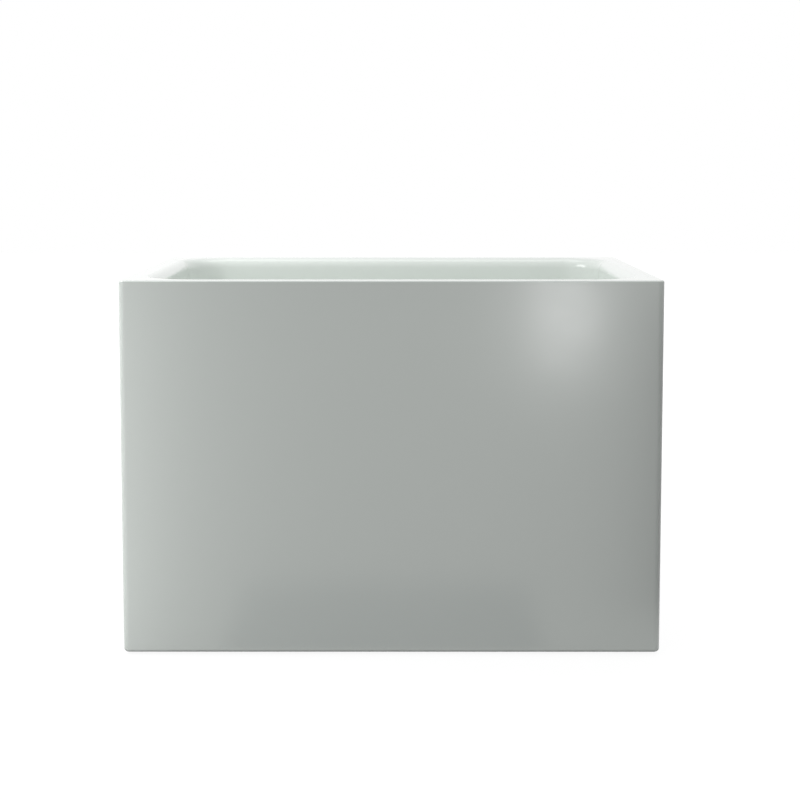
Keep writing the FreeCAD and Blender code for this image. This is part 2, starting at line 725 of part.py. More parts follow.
def drain_body():
    """The cup under the floor, with a collar, a pipe spigot down and a side spigot for the overflow pipe."""
    body = piece(new_body("drain_body"), "drain_body")
    outlet_tip = f"({CUP_BOTTOM} - outlet_length)"
    inner_floor = f"({CUP_BOTTOM} + cup_wall)"
    squares = (("collar_half", CUP_TOP, "collar_thickness"), ("cup_half", CUP_BOTTOM, "cup_depth"))
    for half, bottom, height in squares:
        sketch = new_sketch(body, "XY_Plane", bottom)
        add_square(sketch, half)
        pad(body, sketch, height)
    sketch = new_sketch(body, "XY_Plane", outlet_tip)
    add_circle(sketch, "0", "0", "outlet_radius")
    pad(body, sketch, "outlet_length")
    sketch = new_sketch(body, "YZ_Plane", "cup_half")
    add_circle(sketch, "0", INLET_Z, "spigot_radius")
    pad(body, sketch, "spigot_length")
    sketch = new_sketch(body, "XY_Plane", inner_floor)
    add_square(sketch, "(cup_half - cup_wall)")
    pocket(body, sketch, f"{COLLAR_TOP} - {inner_floor}")
    sketch = new_sketch(body, "XY_Plane", outlet_tip)
    add_circle(sketch, "0", "0", "outlet_radius - outlet_wall")
    pocket(body, sketch, "outlet_length + 2 * cup_wall")
    sketch = new_sketch(body, "YZ_Plane", "cup_half - 2 * cup_wall")
    add_circle(sketch, "0", INLET_Z, "spigot_radius - spigot_wall")
    pocket(body, sketch, "spigot_length + 2 * cup_wall")
    sketch = new_sketch(body, "XZ_Plane")
    add_circle(sketch, "-lever_arm", LEVER_Z, "axle_radius + running_gap")
    pocket(body, sketch)
    place(body, DRAIN_X)


def drain_plug():
    """The lifting plug: a cap on a stem."""
    body = piece(new_body("drain_plug"), "drain_plug")
    under = "(floor_height + lift_gap)"
    for bottom, radius, height in ((under, "plug_radius", "plug_height"),
                                   (STEM_BOTTOM, "stem_radius", f"{under} - {STEM_BOTTOM}")):
        sketch = new_sketch(body, "XY_Plane", bottom)
        add_circle(sketch, "0", "0", radius)
        pad(body, sketch, height)
    place(body, DRAIN_X)


def lift_lever():
    """The lever inside the cup: an axle across it, and an arm whose round tip is under the stem."""
    body = piece(new_body("lift_lever"), "lift_lever")
    tip_x, tip_z = "sqrt(pow(lever_arm; 2) - pow(lift_travel / 2; 2))", "(-lift_travel / 2)"
    rounds = (("0", "0", "axle_radius", "2 * cup_half"), (tip_x, tip_z, "lever_tip", "lever_width"))
    for x, z, radius, width in rounds:
        sketch = new_sketch(body, "XZ_Plane")
        add_circle(sketch, x, z, radius)
        pad(body, sketch, width, Midplane=True)
    sketch = new_sketch(body, "XZ_Plane")
    add_outline(sketch, [("0", "-lever_web"), (tip_x, f"{tip_z} - lever_web"),
                         (tip_x, f"{tip_z} + lever_web"), ("0", "lever_web")])
    pad(body, sketch, "lever_width", Midplane=True)
    place(body, LEVER_X, z=LEVER_Z)


def overflow_housing():
    """The box behind the foot end wall, open to it, with a spigot for the pipe."""
    body = piece(new_body("overflow_housing"), "overflow_housing")
    sketch = new_sketch(body, "YZ_Plane", "basin_wall")
    add_square(sketch, "housing_half")
    pad(body, sketch, "housing_depth")
    sketch = new_sketch(body, "XY_Plane", f"-{SPIGOT_TIP}")
    add_circle(sketch, PIPE_DEPTH, "0", "spigot_radius")
    pad(body, sketch, "spigot_length")
    sketch = new_sketch(body, "YZ_Plane", "basin_wall")
    add_square(sketch, "(housing_half - housing_wall)")
    pocket(body, sketch, "housing_depth - housing_wall")
    sketch = new_sketch(body, "XY_Plane", f"-{SPIGOT_TIP}")
    add_circle(sketch, PIPE_DEPTH, "0", "spigot_radius - spigot_wall")
    pocket(body, sketch, "spigot_length + 2 * housing_wall")
    on_overflow(body)


def overflow_ring():
    """The chromed plate on the inner face of the wall, with a bar across it that guides the shaft."""
    body = piece(new_body("overflow_ring"), "overflow_ring")
    sketch = new_sketch(body, "YZ_Plane", "-ring_thickness")
    add_square(sketch, "ring_half")
    pad(body, sketch, "ring_thickness")
    for low, high in (("-ring_opening", "-guide_width / 2"), ("guide_width / 2", "ring_opening")):
        sketch = new_sketch(body, "YZ_Plane", "-ring_thickness")
        add_box(sketch, low, high, "-ring_opening", "ring_opening")
        pocket(body, sketch, "2 * ring_thickness")
    sketch = new_sketch(body, "YZ_Plane", "-ring_thickness")
    add_circle(sketch, "0", "0", "shaft_radius + running_gap")
    pocket(body, sketch, "2 * ring_thickness")
    on_overflow(body)


def overflow_knob():
    """The turning knob with its grip bar and shaft, and the crank on the shaft that pulls the cable."""
    body = piece(new_body("overflow_knob"), "overflow_knob")
    sketch = new_sketch(body, "YZ_Plane", KNOB_FACE)
    add_bevelled_box(sketch, "knob_half", "knob_half", "knob_bevel")
    pad(body, sketch, "knob_depth")
    sketch = new_sketch(body, "YZ_Plane", f"{KNOB_FACE} - grip_height")
    add_box(sketch, "-grip_half", "grip_half", "-grip_width / 2", "grip_width / 2")
    pad(body, sketch, "grip_height")
    sketch = new_sketch(body, "YZ_Plane", KNOB_BACK)
    add_circle(sketch, "0", "0", "shaft_radius")
    pad(body, sketch, f"{HOUSING_INSIDE} - lift_gap - {KNOB_BACK}")
    on_overflow(body)

    body = piece(new_body("overflow_crank"), "overflow_crank")
    sketch = new_sketch(body, "YZ_Plane", f"{HOUSING_INSIDE} - crank_gap - crank_thickness")
    add_box(sketch, "-crank_half", "crank_reach", "-crank_half", "crank_half")
    add_circle(sketch, "0", "0", "shaft_radius")
    pad(body, sketch, "crank_thickness")
    on_overflow(body)


def overflow_pipe():
    """The pipe from the overflow down to the drain, with a mitred elbow, and the cable bent beside it."""

    def down_to(reach):
        return f"({WALL_Z} - {PIPE_DEPTH} * sin(wall_slope * 1deg) - {reach} * cos(wall_slope * 1deg))"

    def level_x(z):
        return behind_foot_end(PIPE_DEPTH, z)

    body = piece(new_body("overflow_pipe"), "overflow_pipe")
    top = down_to(f"({SPIGOT_TIP} - pipe_overlap)")
    turn = f"({INLET_Z} + pipe_elbow)"
    corners = [(level_x(top), top), (level_x(turn), turn), (f"{level_x(turn)} - pipe_elbow", INLET_Z),
               (f"{DRAIN_X} + cup_half + spigot_length - pipe_overlap", INLET_Z)]
    for radius, kind in ((PIPE_RADIUS, "AdditivePipe"), (PIPE_BORE, "SubtractivePipe")):
        path = new_sketch(body, "XZ_Plane")
        add_route(path, corners)
        pipe(body, path, radius, kind)

    body = piece(new_body("control_cable"), "control_cable")
    path = new_sketch(body, "XZ_Plane", "-cable_side")
    top = down_to("housing_half")
    centre = (behind_foot_end(f"({PIPE_DEPTH} - pipe_elbow)", turn), turn)
    add_bend(path, (level_x(top), top), centre, (f"{DRAIN_X} + cup_half", INLET_Z), "pipe_elbow")
    pipe(body, path, "cable_radius", "AdditivePipe")


def check_and_write():
    """Stops on any object that failed, then writes each piece as a STEP file under its name."""
    doc.recompute()
    for thing in doc.Objects:
        if {"Invalid", "Error"} & set(thing.State):
            raise SystemExit(f"{thing.Label} failed: {thing.State}")
    os.makedirs("parts", exist_ok=True)
    for thing in pieces:
        shape = thing.Shape
        if shape.isNull() or not shape.isValid() or not shape.Solids:
            raise SystemExit(f"{thing.Label} has no valid shape")
        shape.exportStep(f"parts/{thing.Label}.step")
        print(f"{thing.Label}: {len(shape.Solids)} solid(s), {shape.Volume / 1000:.1f} cm3")
    print(f"{len(pieces)} pieces")


basin()
skirt()
rim_battens()
boards()
side_rails()
cross_rails()
uprights()
rail_end_caps()
skirt_brackets()
levelling_feet()
drain_flange()
drain_body()
drain_plug()
lift_lever()
overflow_housing()
overflow_ring()
overflow_knob()
overflow_pipe()
check_and_write()
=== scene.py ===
"""A small box-shaped white acrylic bathtub, with its timber, steel frame, feet, waste and overflow."""

import json
import math

import bmesh
import bpy
from mathutils import Matrix, Vector

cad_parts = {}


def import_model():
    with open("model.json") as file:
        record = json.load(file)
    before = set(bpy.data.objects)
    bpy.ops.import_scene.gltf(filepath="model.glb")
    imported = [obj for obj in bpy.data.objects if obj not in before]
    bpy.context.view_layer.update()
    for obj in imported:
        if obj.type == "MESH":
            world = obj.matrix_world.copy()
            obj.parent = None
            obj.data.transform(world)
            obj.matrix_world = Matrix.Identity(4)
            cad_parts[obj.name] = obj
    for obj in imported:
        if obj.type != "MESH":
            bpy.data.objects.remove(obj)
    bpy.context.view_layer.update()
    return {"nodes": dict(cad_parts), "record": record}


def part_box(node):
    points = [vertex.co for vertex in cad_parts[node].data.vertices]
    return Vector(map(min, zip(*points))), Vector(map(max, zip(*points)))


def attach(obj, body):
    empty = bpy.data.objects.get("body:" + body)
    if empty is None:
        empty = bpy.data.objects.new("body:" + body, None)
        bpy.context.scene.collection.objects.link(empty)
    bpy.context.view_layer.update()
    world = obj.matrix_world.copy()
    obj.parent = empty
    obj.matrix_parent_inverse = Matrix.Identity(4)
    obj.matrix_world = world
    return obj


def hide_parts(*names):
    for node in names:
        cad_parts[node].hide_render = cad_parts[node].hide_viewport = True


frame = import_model()
nodes = frame["nodes"]

# Sizes in metres, in the tub's own frame: X towards the drain end, Y to the back, Z up from the floor.
HEIGHT, FLOOR_Z = 0.7, 0.125
SLOPE, WALL_TOP_X = math.radians(3), 0.45


def wall_x(z):
    """Inner face of the foot end wall at a height."""
    return WALL_TOP_X - (HEIGHT - z) * math.tan(SLOPE)


DRAIN_TO_WALL = 0.1
DRAIN_X = wall_x(FLOOR_Z) - DRAIN_TO_WALL
PIPE_RADIUS, PIPE_DEPTH, INLET_Z = 0.0161, 0.0271, 0.0799
CABLE_RADIUS, CABLE_SIDE = 0.0025, 0.0225
FOOT_X, FOOT_Y, THREAD_PITCH = 0.405, 0.31, 0.00175
PLY_LAYER = 0.0028


# Finishes

class Value:
    """A number or a vector that comes out of a shader node."""

    def __init__(self, finish, socket):
        self.finish, self.socket = finish, socket

    def maths(self, operation, first, second=None):
        sockets = {0: first} if second is None else {0: first, 1: second}
        return self.finish.node("Math", {"operation": operation}, sockets)

    def __add__(self, other):
        return self.maths("ADD", self, other)

    def __radd__(self, other):
        return self.maths("ADD", other, self)

    def __sub__(self, other):
        return self.maths("SUBTRACT", self, other)

    def __rsub__(self, other):
        return self.maths("SUBTRACT", other, self)

    def __mul__(self, other):
        return self.maths("MULTIPLY", self, other)

    def __rmul__(self, other):
        return self.maths("MULTIPLY", other, self)

    def __lt__(self, other):
        return self.maths("LESS_THAN", self, other)

    def __gt__(self, other):
        return self.maths("GREATER_THAN", self, other)

    def __abs__(self):
        return self.maths("ABSOLUTE", self)

    def fraction(self):
        return self.maths("FRACT", self)


class Finish:
    """One material, with the nodes that shape its colour, shine and surface."""

    def __init__(self, name, **sockets):
        self.material = bpy.data.materials.new(name)
        self.material.use_nodes = True
        self.nodes = self.material.node_tree.nodes
        self.links = self.material.node_tree.links
        self.shader = self.nodes["Principled BSDF"]
        self.set(**sockets)

    def fill(self, made, sockets):
        for key, value in sockets.items():
            if isinstance(value, Value):
                self.links.new(value.socket, made.inputs[key])
            else:
                made.inputs[key].default_value = value

    def node(self, kind, settings=None, sockets=None, output=0):
        """Adds a node with its settings and its sockets' values or links, and gives one of its outputs."""
        made = self.nodes.new(f"ShaderNode{kind}")
        for key, value in (settings or {}).items():
            if key == "stops":
                ends = made.color_ramp.elements
                for place, _ in value[2:]:
                    ends.new(place)
                for end, (place, shade) in zip(ends, value):
                    end.position, end.color = place, (*shade, 1)
            else:
                setattr(made, key, value)
        self.fill(made, sockets or {})
        return Value(self, made.outputs[output])

    def set(self, **sockets):
        """Sets the shader's own sockets, named with underscores."""
        self.fill(self.shader, {name.replace("_", " "): value for name, value in sockets.items()})
        return self

    def place(self):
        return self.node("TexCoord", output="Object")

    def axis(self, letter, vector=None):
        """One part of a vector, or of the place on the piece."""
        return self.node("SeparateXYZ", {}, {0: vector or self.place()}, output=letter)

    def stretched(self, x, y, z):
        """The place on the piece, with each axis scaled, so that a pattern runs along one of them."""
        return self.node("Mapping", {}, {"Vector": self.place(), "Scale": (x, y, z)})

    def layered(self, turn, closeness):
        """The place on the piece, squeezed along one turned axis, so that a pattern lies in layers."""
        sockets = {"Vector": self.place(), "Rotation": turn, "Scale": (1.0, 1 / closeness, 1.0)}
        return self.node("Mapping", {"vector_type": "TEXTURE"}, sockets)

    def noise(self, scale, detail=2.0, roughness=0.5, place=None):
        sockets = {"Vector": place or self.place(), "Scale": scale, "Detail": detail, "Roughness": roughness}
        return self.node("TexNoise", {}, sockets)

    def mix(self, share, first, second):
        return self.node("Mix", {"data_type": "RGBA"}, {0: share, 6: first, 7: second}, output=2)

    def fade(self, value, start, end, first, last):
        """Goes from a first to a last number while a value goes from start to end."""
        return self.node("MapRange", {}, {"Value": value, 1: start, 2: end, 3: first, 4: last})

    def ramp(self, share, *stops):
        """Colours a share by stops, given from the lowest up."""
        return self.node("ValToRGB", {"stops": stops}, {0: share})

    def bump(self, height, distance, strength=1.0):
        return self.node("Bump", {}, {"Strength": strength, "Distance": distance, "Height": height})


def colour(red, green, blue):
    return (red, green, blue, 1.0)


def acrylic(name, shine, coat, lift=0.0):
    """White acrylic sheet: faint waves, a tone that drifts a little, and a trace of wiping in the shine. A
    lift gives a lighter copy of the same white, as painted light.
    """
    tones = (0.80, 0.852, 0.812), (0.826, 0.872, 0.836)
    # lift lightens both tones: painted light, not a different acrylic.
    deep, pale = (colour(*(share + lift for share in tone)) for tone in tones)
    finish = Finish(name, Coat_Weight=coat, Coat_Roughness=0.1, IOR=1.49)
    drift = finish.noise(1.7, 3.0)
    wiped = finish.noise(9.0, 5.0, 0.6, finish.stretched(1.0, 1.0, 2.4))
    waves = finish.noise(5.5, 1.0) * 0.8 + finish.noise(70.0, 2.0) * 0.03
    return finish.set(
        Base_Color=finish.mix(drift, deep, pale),
        Roughness=shine + wiped * 0.05,
        Normal=finish.bump(waves, 0.0008, 0.5),
    ).material


def laminate():
    """The hidden side of the shell: chopped glass strands under cured resin."""
    finish = Finish("glass laminate", IOR=1.5)
    cloud = finish.noise(14.0, 6.0, 0.65)
    fibres = finish.noise(160.0, 3.0, 0.7, finish.stretched(1.0, 6.0, 1.0))
    turns = (0.6, 0.0, 0.7), (-0.7, 0.2, -0.9), (1.1, 0.3, 0.2), (-0.2, 0.5, 1.3), (0.9, -0.4, -0.4)
    wanders = [finish.noise(26.0, 1.0, 0.5, finish.layered(turn, closeness=7)) for turn in turns]
    strand_width = 0.015
    strands = sum(abs(wander - 0.5) < strand_width for wander in wanders)
    resin = finish.mix(cloud, colour(0.54, 0.56, 0.45), colour(0.70, 0.70, 0.60))
    return finish.set(
        Base_Color=finish.mix(strands * 0.3, resin, colour(0.86, 0.86, 0.80)),
        Roughness=0.42 + fibres * 0.3,
        Normal=finish.bump(fibres * 0.6 + strands * 0.5, 0.0009, 0.8),
    ).material


def powder_coat():
    """Grey powder coat: a fine even grain, with a little dust in its colour."""
    finish = Finish("grey powder coat")
    grain = finish.noise(900.0, 2.0)
    worn = finish.noise(11.0, 4.0, 0.6)
    return finish.set(
        Base_Color=finish.mix(worn, colour(0.30, 0.31, 0.32), colour(0.40, 0.41, 0.42)),
        Roughness=0.42 + grain * 0.16,
        Normal=finish.bump(grain, 0.0003, 0.6),
    ).material


def zinc(name, threaded=False):
    """Bright zinc plate, clouded, with a screw thread where a rod has one."""
    finish = Finish(name)
    cloud = finish.noise(60.0, 5.0, 0.65)
    height = finish.noise(700.0, 2.0) * 0.15
    if threaded:
        height = height + abs((finish.axis("Z") * (1 / THREAD_PITCH)).fraction() - 0.5) * 2.0
    return finish.set(
        Base_Color=finish.mix(cloud, colour(0.50, 0.51, 0.52), colour(0.70, 0.70, 0.69)),
        Metallic=1.0,
        Roughness=0.26 + cloud * 0.2,
        Normal=finish.bump(height, 0.0009 if threaded else 0.0003, 0.8),
    ).material


def chrome():
    """Polished chrome, with faint wiping marks."""
    finish = Finish("chrome")
    marks = finish.noise(30.0, 5.0, 0.6, finish.stretched(1.0, 5.0, 1.0))
    return finish.set(
        Base_Color=finish.mix(marks, colour(0.58, 0.59, 0.60), colour(0.68, 0.69, 0.70)),
        Metallic=1.0,
        Roughness=0.05 + marks * 0.08,
    ).material


def moulded(name, dark, light, shine=0.38):
    """Moulded plastic or rubber with a fine spark-eroded grain."""
    finish = Finish(name)
    grain = finish.noise(1100.0, 2.0)
    flow = finish.noise(22.0, 3.0)
    return finish.set(
        Base_Color=finish.mix(flow, dark, light),
        Roughness=shine + grain * 0.15,
        Normal=finish.bump(grain, 0.0002, 0.5),
    ).material


def softwood():
    """Sawn softwood: growth rings drawn out along X."""
    finish = Finish("sawn softwood")
    rings = finish.noise(38.0, 4.0, 0.55, finish.stretched(0.06, 1.0, 1.0))
    fibres = finish.noise(420.0, 2.0, 0.6, finish.stretched(0.03, 1.0, 1.0))
    stops = (0.3, (0.66, 0.46, 0.26)), (0.45, (0.72, 0.53, 0.32)), (0.62, (0.47, 0.29, 0.14))
    return finish.set(
        Base_Color=finish.ramp(rings, *stops),
        Roughness=0.62 + fibres * 0.2,
        Normal=finish.bump(fibres, 0.0006, 0.7),
    ).material


def plywood():
    """Birch plywood: a figured face, and dark and light layers on its cut edges."""
    finish = Finish("plywood")
    figure = finish.noise(20.0, 5.0, 0.6, finish.stretched(0.12, 1.0, 1.0))
    stops = (0.3, (0.68, 0.51, 0.32)), (0.5, (0.74, 0.58, 0.38)), (0.7, (0.55, 0.38, 0.21))
    face = finish.ramp(figure, *stops)
    layer = (finish.axis("Z") * (1 / PLY_LAYER)).fraction() > 0.5
    edge = finish.mix(layer, colour(0.36, 0.22, 0.11), colour(0.66, 0.49, 0.30))
    level = abs(finish.axis("Z", finish.node("NewGeometry", output="Normal")))
    return finish.set(
        Base_Color=finish.mix(level > 0.5, edge, face),
        Roughness=0.55 + figure * 0.2,
        Normal=finish.bump(figure, 0.0005, 0.6),
    ).material


# The gloss copy is the same white acrylic made 0.04 lighter by its lift: painted light that brightens the
# basin's shown side, above all its inner walls.
SATIN, GLOSS = acrylic("acrylic satin", 0.145, 0.0), acrylic("acrylic gloss", 0.12, 0.4, 0.04)
LAMINATE = laminate()
STEEL, ZINC, THREAD, CHROME = powder_coat(), zinc("zinc plate"), zinc("zinc thread", True), chrome()
BLACK = moulded("black plastic", colour(0.020, 0.020, 0.021), colour(0.036, 0.036, 0.037))
RUBBER = moulded("black rubber", colour(0.012, 0.012, 0.012), colour(0.024, 0.024, 0.024), 0.6)
WASTE = moulded("light grey plastic", colour(0.64, 0.64, 0.62), colour(0.74, 0.74, 0.72))
GREY = moulded("grey plastic", colour(0.44, 0.44, 0.42), colour(0.53, 0.53, 0.51))
SOFTWOOD, PLYWOOD = softwood(), plywood()
SLOT_FINISHES = {
    "acrylic_white": SATIN, "softwood": SOFTWOOD, "plywood": PLYWOOD,
    "frame_steel": STEEL, "zinc_steel": ZINC, "chrome": CHROME,
    "black_plastic": BLACK, "waste_plastic": WASTE, "lever_plastic": GREY,
}
for row in frame["record"]["subparts"]:
    nodes[row["node"]].data.materials.clear()
    nodes[row["node"]].data.materials.append(SLOT_FINISHES[row["material_slot"]])


# Pieces

def shape_of(node):
    """A bmesh copy of a CAD piece, with its loose triangles joined."""
    shape = bmesh.new()
    shape.from_mesh(nodes[node].data)
    bmesh.ops.remove_doubles(shape, verts=shape.verts, dist=2e-6)
    return shape


def flatten(shape, degrees=0.4):
    """Joins faces that lie in one plane, or nearly."""
    bmesh.ops.dissolve_limit(shape, angle_limit=math.radians(degrees), verts=shape.verts, edges=shape.edges)


def moved(shape, matrix):
    bmesh.ops.transform(shape, matrix=matrix, verts=shape.verts)
    return shape


def above(height):
    """A test for edges that lie higher than that."""
    return lambda edge: min(v.co.z for v in edge.verts) > height


def below(height):
    return lambda edge: max(v.co.z for v in edge.verts) < height


def longer(length):
    return lambda edge: edge.calc_length() > length


def edges_between(shape, low, high, test=None):
    """The edges whose two faces meet at an angle between two limits, in degrees."""
    limits = math.radians(low), math.radians(high)
    return [e for e in shape.edges if len(e.link_faces) == 2
            and limits[0] < e.calc_face_angle(0) < limits[1] and (test is None or test(e))]


def round_off(shape, edges, amount, segments=3):
    bmesh.ops.bevel(shape, geom=edges, offset=amount, offset_type="OFFSET", segments=segments, profile=0.5,
                    affect="EDGES", clamp_overlap=True, material=-1)


def add_piece(name, shape, *finishes, body="tub", slot=None, instead_of=(), sharp=34.0):
    """Makes a piece from a bmesh, smooth except at its sharp edges, and lets it ride on a body."""
    for face in shape.faces:
        face.smooth = True
    for edge in edges_between(shape, sharp, 181):
        edge.smooth = False
    mesh = bpy.data.meshes.new(name)
    shape.to_mesh(mesh)
    shape.free()
    for finish in finishes:
        mesh.materials.append(finish)
    thing = bpy.data.objects.new(name, mesh)
    bpy.context.scene.collection.objects.link(thing)
    steady = thing.modifiers.new("steady normals", "WEIGHTED_NORMAL")
    steady.keep_sharp = True
    steady.weight = 100
    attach(thing, body)
    if instead_of:
        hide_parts(*instead_of)


def refine(node, name, finish, slot, test, amount, low=60, body="tub"):
    """Stands in for a CAD piece with the same shape, its tested edges rounded."""
    shape = shape_of(node)
    flatten(shape)
    round_off(shape, edges_between(shape, low, 120, test), amount)
    add_piece(name, shape, finish, body=body, slot=slot, instead_of=[node])


def turned(outline, centre):
    """A solid of revolution round an upright axis, from an outline of radius and height."""
    shape = bmesh.new()
    verts = [shape.verts.new((radius, 0, height)) for radius, height in outline]
    edges = [shape.edges.new(pair) for pair in zip(verts, verts[1:])]
    bmesh.ops.spin(shape, geom=verts + edges, cent=(0, 0, 0), axis=(0, 0, 1), angle=math.tau,
                   steps=72, use_merge=True)
    bmesh.ops.remove_doubles(shape, verts=shape.verts, dist=1e-6)
    bmesh.ops.recalc_face_normals(shape, faces=shape.faces)
    return moved(shape, Matrix.Translation(centre))


def join(*shapes):
    """Puts several bmeshes in one."""
    whole = bmesh.new()
    for shape in shapes:
        part = bpy.data.meshes.new("part")
        shape.to_mesh(part)
        shape.free()
        whole.from_mesh(part)
        bpy.data.meshes.remove(part)
    return whole


def stub(shape, sides, radius, length):
    """Adds a short bar that stands on the XY plane, and gives its corners."""
    made = bmesh.ops.create_cone(shape, cap_ends=True, segments=sides, radius1=radius, radius2=radius,
                                 depth=length, matrix=Matrix.Translation((0, 0, length / 2)))
    return set(made["verts"])


def hex_head(at, outward, flats, height, washer=0.0):
    """A six-sided screw head or nut that stands on a face, with its washer."""
    shape = bmesh.new()
    if washer:
        stub(shape, 32, washer, height * 0.3)
    corners = stub(shape, 6, flats / math.sqrt(3), height)
    round_off(shape, [e for e in shape.edges if set(e.verts) <= corners], height * 0.08, 2)
    turn = Vector((0, 0, 1)).rotation_difference(Vector(outward)).to_matrix().to_4x4()
    return moved(shape, Matrix.Translation(at) @ turn)


def block(size, centre, edge):
    """A small block with rounded edges."""
    shape = bmesh.new()
    bmesh.ops.create_cube(shape, size=1, matrix=Matrix.Translation(centre) @ Matrix.Diagonal((*size, 1)))
    round_off(shape, shape.edges[:], edge, 2)
    return shape


def strap(rounds, width, thickness):
    """A strap pulled tight round bars that stand side by side along Y, each given by its place and radius."""
    shape = bmesh.new()
    for side, radius in rounds:
        for end in (-width / 2, width / 2):
            at = Matrix.Translation((0, side, end))
            bmesh.ops.create_circle(shape, segments=48, radius=radius, matrix=at)
    hull = bmesh.ops.convex_hull(shape, input=shape.verts)
    inner = set(hull["geom_interior"] + hull["geom_unused"])
    bmesh.ops.delete(shape, geom=[v for v in shape.verts if v in inner], context="VERTS")
    flatten(shape, 1)
    ends = [face for face in shape.faces if abs(face.normal.z) > 0.9]
    bmesh.ops.delete(shape, geom=ends, context="FACES_KEEP_BOUNDARY")
    bmesh.ops.recalc_face_normals(shape, faces=shape.faces)
    middle = sum((v.co for v in shape.verts), Vector()) / len(shape.verts)
    side = shape.faces[:][0]
    if side.normal.dot(side.calc_center_median() - middle) < 0:
        bmesh.ops.reverse_faces(shape, faces=shape.faces)
    bmesh.ops.solidify(shape, geom=shape.faces[:], thickness=-thickness)
    bmesh.ops.recalc_face_normals(shape, faces=shape.faces)
    return shape


def on_pipe(shape, height):
    """Moves pieces made round the Z axis to the pipe's long run behind the wall."""
    at = (wall_x(height) + PIPE_DEPTH / math.cos(SLOPE), 0, height)
    return moved(shape, Matrix.Translation(at) @ Matrix.Rotation(SLOPE, 4, "Y"))


def clamp():
    """A worm-drive clamp round the pipe, with its screw on the side away from the cable."""
    band = strap([(0, PIPE_RADIUS)], width=0.009, thickness=0.0007)
    screw_y = -PIPE_RADIUS - 0.0032
    housing = block((0.013, 0.0052, 0.0082), (0, screw_y, 0), 0.0008)
    screw = hex_head((0.0065, screw_y, 0), (1, 0, 0), flats=0.0055, height=0.0035)
    return join(band, housing, screw)


def cable_tie():
    """A cable tie round the pipe and the cable beside it, with its lock head."""
    band = strap([(0, PIPE_RADIUS), (CABLE_SIDE, CABLE_RADIUS)], width=0.0046, thickness=0.0012)
    lock = block((0.0055, 0.0048, 0.0062), (0, -PIPE_RADIUS - 0.0034, 0), 0.0006)
    return join(band, lock)


def make_basin():
    """The basin: gloss on the side that shows, satin round its outer lip, laminate on the hidden side."""
    rim_top, rim_under, lip_under, lip_x, lip_y = 0.6975, 0.6935, 0.68, 0.4955, 0.3455
    middle = Vector((0.1, 0, 0.45))
    finishes = [GLOSS, LAMINATE, SATIN]
    shape = shape_of("basin")
    round_off(shape, edges_between(shape, 40, 50, above(rim_top)), 0.0009)
    for face in shape.faces:
        at = face.calc_center_median()
        shown = at.z > rim_under or face.normal.z > 0.02 or face.normal.dot(middle - at) > 0
        lip = at.z > lip_under and (abs(at.x) > lip_x or abs(at.y) > lip_y)
        face.material_index = finishes.index(SATIN if lip else GLOSS if shown else LAMINATE)
    add_piece("basin_shell", shape, *finishes, slot="acrylic_white", instead_of=["basin"])


def make_skirt():
    """The skirt: satin outside and on its rounded foot, laminate inside."""
    foot_top = 0.0095
    finishes = [SATIN, LAMINATE]
    shape = shape_of("skirt")
    round_off(shape, edges_between(shape, 40, 50, below(foot_top)), 0.0019)
    for face in shape.faces:
        at = face.calc_center_median()
        inward = face.normal.x * at.x + face.normal.y * at.y < -0.01
        face.material_index = finishes.index(LAMINATE if inward or face.normal.z > 0.5 else SATIN)
    add_piece("skirt_shell", shape, *finishes, slot="acrylic_white", instead_of=["skirt"])


def make_waste():
    """The chromed flange, the lifting plug and its lip seal, and the plastic cup with its collar's screws."""
    flange_top, collar_z, screw_side = 0.1249, 0.112, 0.0315
    refine("drain_flange", "waste_flange", CHROME, "chrome", above(flange_top), 0.0006)

    top, under, foot = 0.1323, 0.1253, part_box("drain_plug")[0].z
    cap = [(0, top), (0.012, top - 0.00005), (0.022, top - 0.0003), (0.029, top - 0.0009),
           (0.0315, top - 0.0019), (0.0327, top - 0.0033), (0.033, top - 0.0046), (0.033, under + 0.0006),
           (0.0326, under + 0.0001), (0.030, under), (0.003, under), (0.003, foot + 0.0006), (0.0024, foot),
           (0, foot)]
    plug = turned(cap, (DRAIN_X, 0, 0))
    add_piece("lifting_plug", plug, CHROME, body="plug", slot="chrome", instead_of=["drain_plug"])
    lip = [(0.0285, under), (0.0285, under - 0.0002), (0.0333, under - 0.0002), (0.0336, under + 0.0002),
           (0.0333, under + 0.0007), (0.0285, under + 0.0007), (0.0285, under)]
    seal = turned(lip, (DRAIN_X, 0, 0))
    add_piece("plug_seal", seal, RUBBER, body="plug", slot="black_plastic")

    refine("drain_body", "waste_body", WASTE, "waste_plastic", longer(0.02), 0.0009)
    corners = [(DRAIN_X + x * screw_side, y * screw_side, collar_z) for x in (-1, 1) for y in (-1, 1)]
    heads = [hex_head(at, (0, 0, -1), flats=0.0055, height=0.003) for at in corners]
    add_piece("collar_screws", join(*heads), ZINC, slot="zinc_steel")


def make_overflow():
    """The overflow's plate, knob and housing, its hose and cable, and the clamps and ties on the hose."""
    refine("overflow_ring", "overflow_plate", CHROME, "chrome", longer(0.002), 0.0006)
    refine("overflow_knob", "turning_knob", CHROME, "chrome", longer(0.0045), 0.0012, low=40, body="knob")
    refine("overflow_housing", "overflow_box", WASTE, "waste_plastic", longer(0.03), 0.0012)
    hose, cable = shape_of("overflow_pipe"), shape_of("control_cable")
    add_piece("overflow_hose", hose, WASTE, slot="waste_plastic", instead_of=["overflow_pipe"], sharp=50)
    add_piece("pull_cable", cable, BLACK, slot="black_plastic", instead_of=["control_cable"], sharp=50)

    low_clamp_x, high_clamp_z, tie_heights = DRAIN_X + 0.043, 0.553, (0.19, 0.33, 0.47)
    low_place = Matrix.Translation((low_clamp_x, 0, INLET_Z)) @ Matrix.Rotation(math.radians(90), 4, "Y")
    clamps = join(moved(clamp(), low_place), on_pipe(clamp(), high_clamp_z))
    add_piece("pipe_clamps", clamps, ZINC, slot="zinc_steel")
    ties = [on_pipe(cable_tie(), height) for height in tie_heights]
    add_piece("cable_ties", join(*ties), BLACK, slot="black_plastic")


